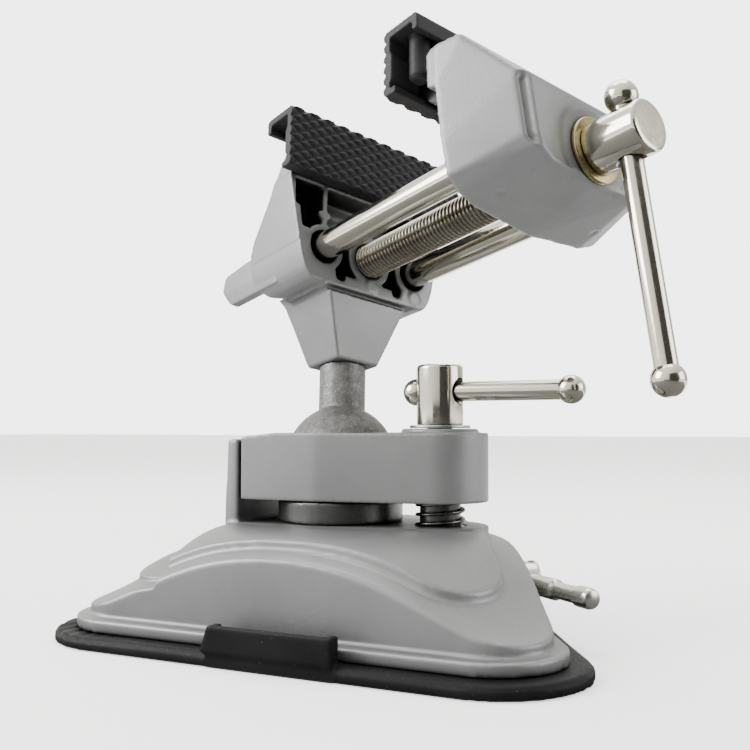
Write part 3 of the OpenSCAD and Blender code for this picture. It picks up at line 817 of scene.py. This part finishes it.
# ---------------------------------------------------------------- floor, light and camera
def floor():
    m = bpy.data.materials.new("floor")
    m.use_nodes = True
    nt = m.node_tree
    sh = nt.nodes["Principled BSDF"]
    sh.inputs["Base Color"].default_value = (0.93, 0.93, 0.925, 1)
    sh.inputs["Roughness"].default_value = 0.85
    sh.inputs["Emission Color"].default_value = (1, 1, 1, 1)
    lp = nt.nodes.new("ShaderNodeLightPath")
    ma = nt.nodes.new("ShaderNodeMath")
    ma.operation = "MULTIPLY_ADD"
    ma.inputs[1].default_value = 0.75
    ma.inputs[2].default_value = 0.36
    nt.links.new(lp.outputs["Is Camera Ray"], ma.inputs[0])
    nt.links.new(ma.outputs[0], sh.inputs["Emission Strength"])
    s = 6.0
    mesh = bpy.data.meshes.new("floor")
    mesh.from_pydata([(-s, -s, 0), (s, -s, 0), (s, s, 0), (-s, s, 0)], [], [(0, 1, 2, 3)])
    mesh.materials.append(m)
    obj = bpy.data.objects.new("floor", mesh)
    SCENE.collection.objects.link(obj)
    obj.location.z = -0.0002


def area(name, loc, target, size, power, color=(1, 1, 1)):
    d = bpy.data.lights.new(name, "AREA")
    d.shape = "RECTANGLE"
    d.size, d.size_y = size
    d.energy = power
    d.color = color
    o = bpy.data.objects.new(name, d)
    o.location = loc
    o.rotation_euler = (Vector(target) - Vector(loc)).to_track_quat("-Z", "Y").to_euler()
    SCENE.collection.objects.link(o)


def card(name, loc, target, size, tone=0.02):
    m = bpy.data.materials.new(name)
    m.use_nodes = True
    sh = m.node_tree.nodes["Principled BSDF"]
    sh.inputs["Base Color"].default_value = (tone, tone, tone, 1)
    sh.inputs["Roughness"].default_value = 0.9
    a, b = size[0] / 2, size[1] / 2
    mesh = bpy.data.meshes.new(name)
    mesh.from_pydata([(-a, -b, 0), (a, -b, 0), (a, b, 0), (-a, b, 0)], [], [(0, 1, 2, 3)])
    mesh.materials.append(m)
    o = bpy.data.objects.new(name, mesh)
    o.location = loc
    o.rotation_euler = (Vector(target) - Vector(loc)).to_track_quat("-Z", "Y").to_euler()
    SCENE.collection.objects.link(o)
    o.visible_camera = False
    return o


def light():
    w = bpy.data.worlds.new("studio")
    SCENE.world = w
    w.use_nodes = True
    nt = w.node_tree
    bg = nt.nodes["Background"]
    bg.inputs[0].default_value = (1.0, 1.0, 1.0, 1)
    bg.inputs[1].default_value = 4.4
    # the room itself is brighter from above and the left than from the right and below
    tc = nt.nodes.new("ShaderNodeTexCoord")
    dot = nt.nodes.new("ShaderNodeVectorMath")
    dot.operation = "DOT_PRODUCT"
    dot.inputs[1].default_value = Vector((-0.70, 0.05, 0.62)).normalized()
    nt.links.new(tc.outputs["Generated"], dot.inputs[0])
    mr = nt.nodes.new("ShaderNodeMapRange")
    mr.interpolation_type = "SMOOTHSTEP"
    mr.inputs["From Min"].default_value = -0.75
    mr.inputs["From Max"].default_value = 0.85
    mr.inputs["To Min"].default_value = 0.55
    mr.inputs["To Max"].default_value = 1.75
    nt.links.new(dot.outputs["Value"], mr.inputs["Value"])
    room = nt.nodes.new("ShaderNodeBackground")
    room.inputs[0].default_value = (1.0, 0.985, 0.95, 1)
    nt.links.new(mr.outputs[0], room.inputs[1])
    lp = nt.nodes.new("ShaderNodeLightPath")
    mix = nt.nodes.new("ShaderNodeMixShader")
    nt.links.new(lp.outputs["Is Camera Ray"], mix.inputs[0])
    nt.links.new(room.outputs[0], mix.inputs[1])
    nt.links.new(bg.outputs[0], mix.inputs[2])
    nt.links.new(mix.outputs[0], nt.nodes["World Output"].inputs[0])
    area("key", (-0.85, -0.55, 0.60), (0, 0, 0.06), (0.7, 0.7), 16)
    area("top", (-0.1, 0.25, 1.0), (0, 0, 0.05), (0.8, 0.8), 8)
    # grey cards beside the camera, unseen by it: they shade the right-hand faces and give the nickel its dark stripes
    card("card_right", (0.40, -0.34, 0.12), (0.02, 0, 0.09), (0.52, 0.60), 0.012)
    area("right", (0.90, 0.18, 0.34), (0.03, 0, 0.10), (0.6, 0.5), 3.6)
    # a dark sheet on the floor, seen by reflections only: undersides stay darker than the sides
    o = card("card_floor", (0.05, -0.25, 0.0004), (0.05, -0.25, 1.0), (1.2, 0.9), 0.10)
    o.visible_diffuse = False
    o.visible_shadow = False
    card("card_low", (0.10, -0.62, -0.02), (0, 0, 0.08), (0.5, 0.16))


def camera():
    cam = bpy.data.cameras.new("cam")
    obj = bpy.data.objects.new("cam", cam)
    SCENE.collection.objects.link(obj)
    cam.sensor_width = 36.0
    cam.lens = 973.0 / 750.0 * 36.0
    cam.clip_start = 0.01
    obj.location = (0.1344, -0.2618, 0.0607)
    obj.rotation_euler = (math.radians(90 + 3.06), 0, math.radians(26.0))
    SCENE.camera = obj


floor()
light()
camera()
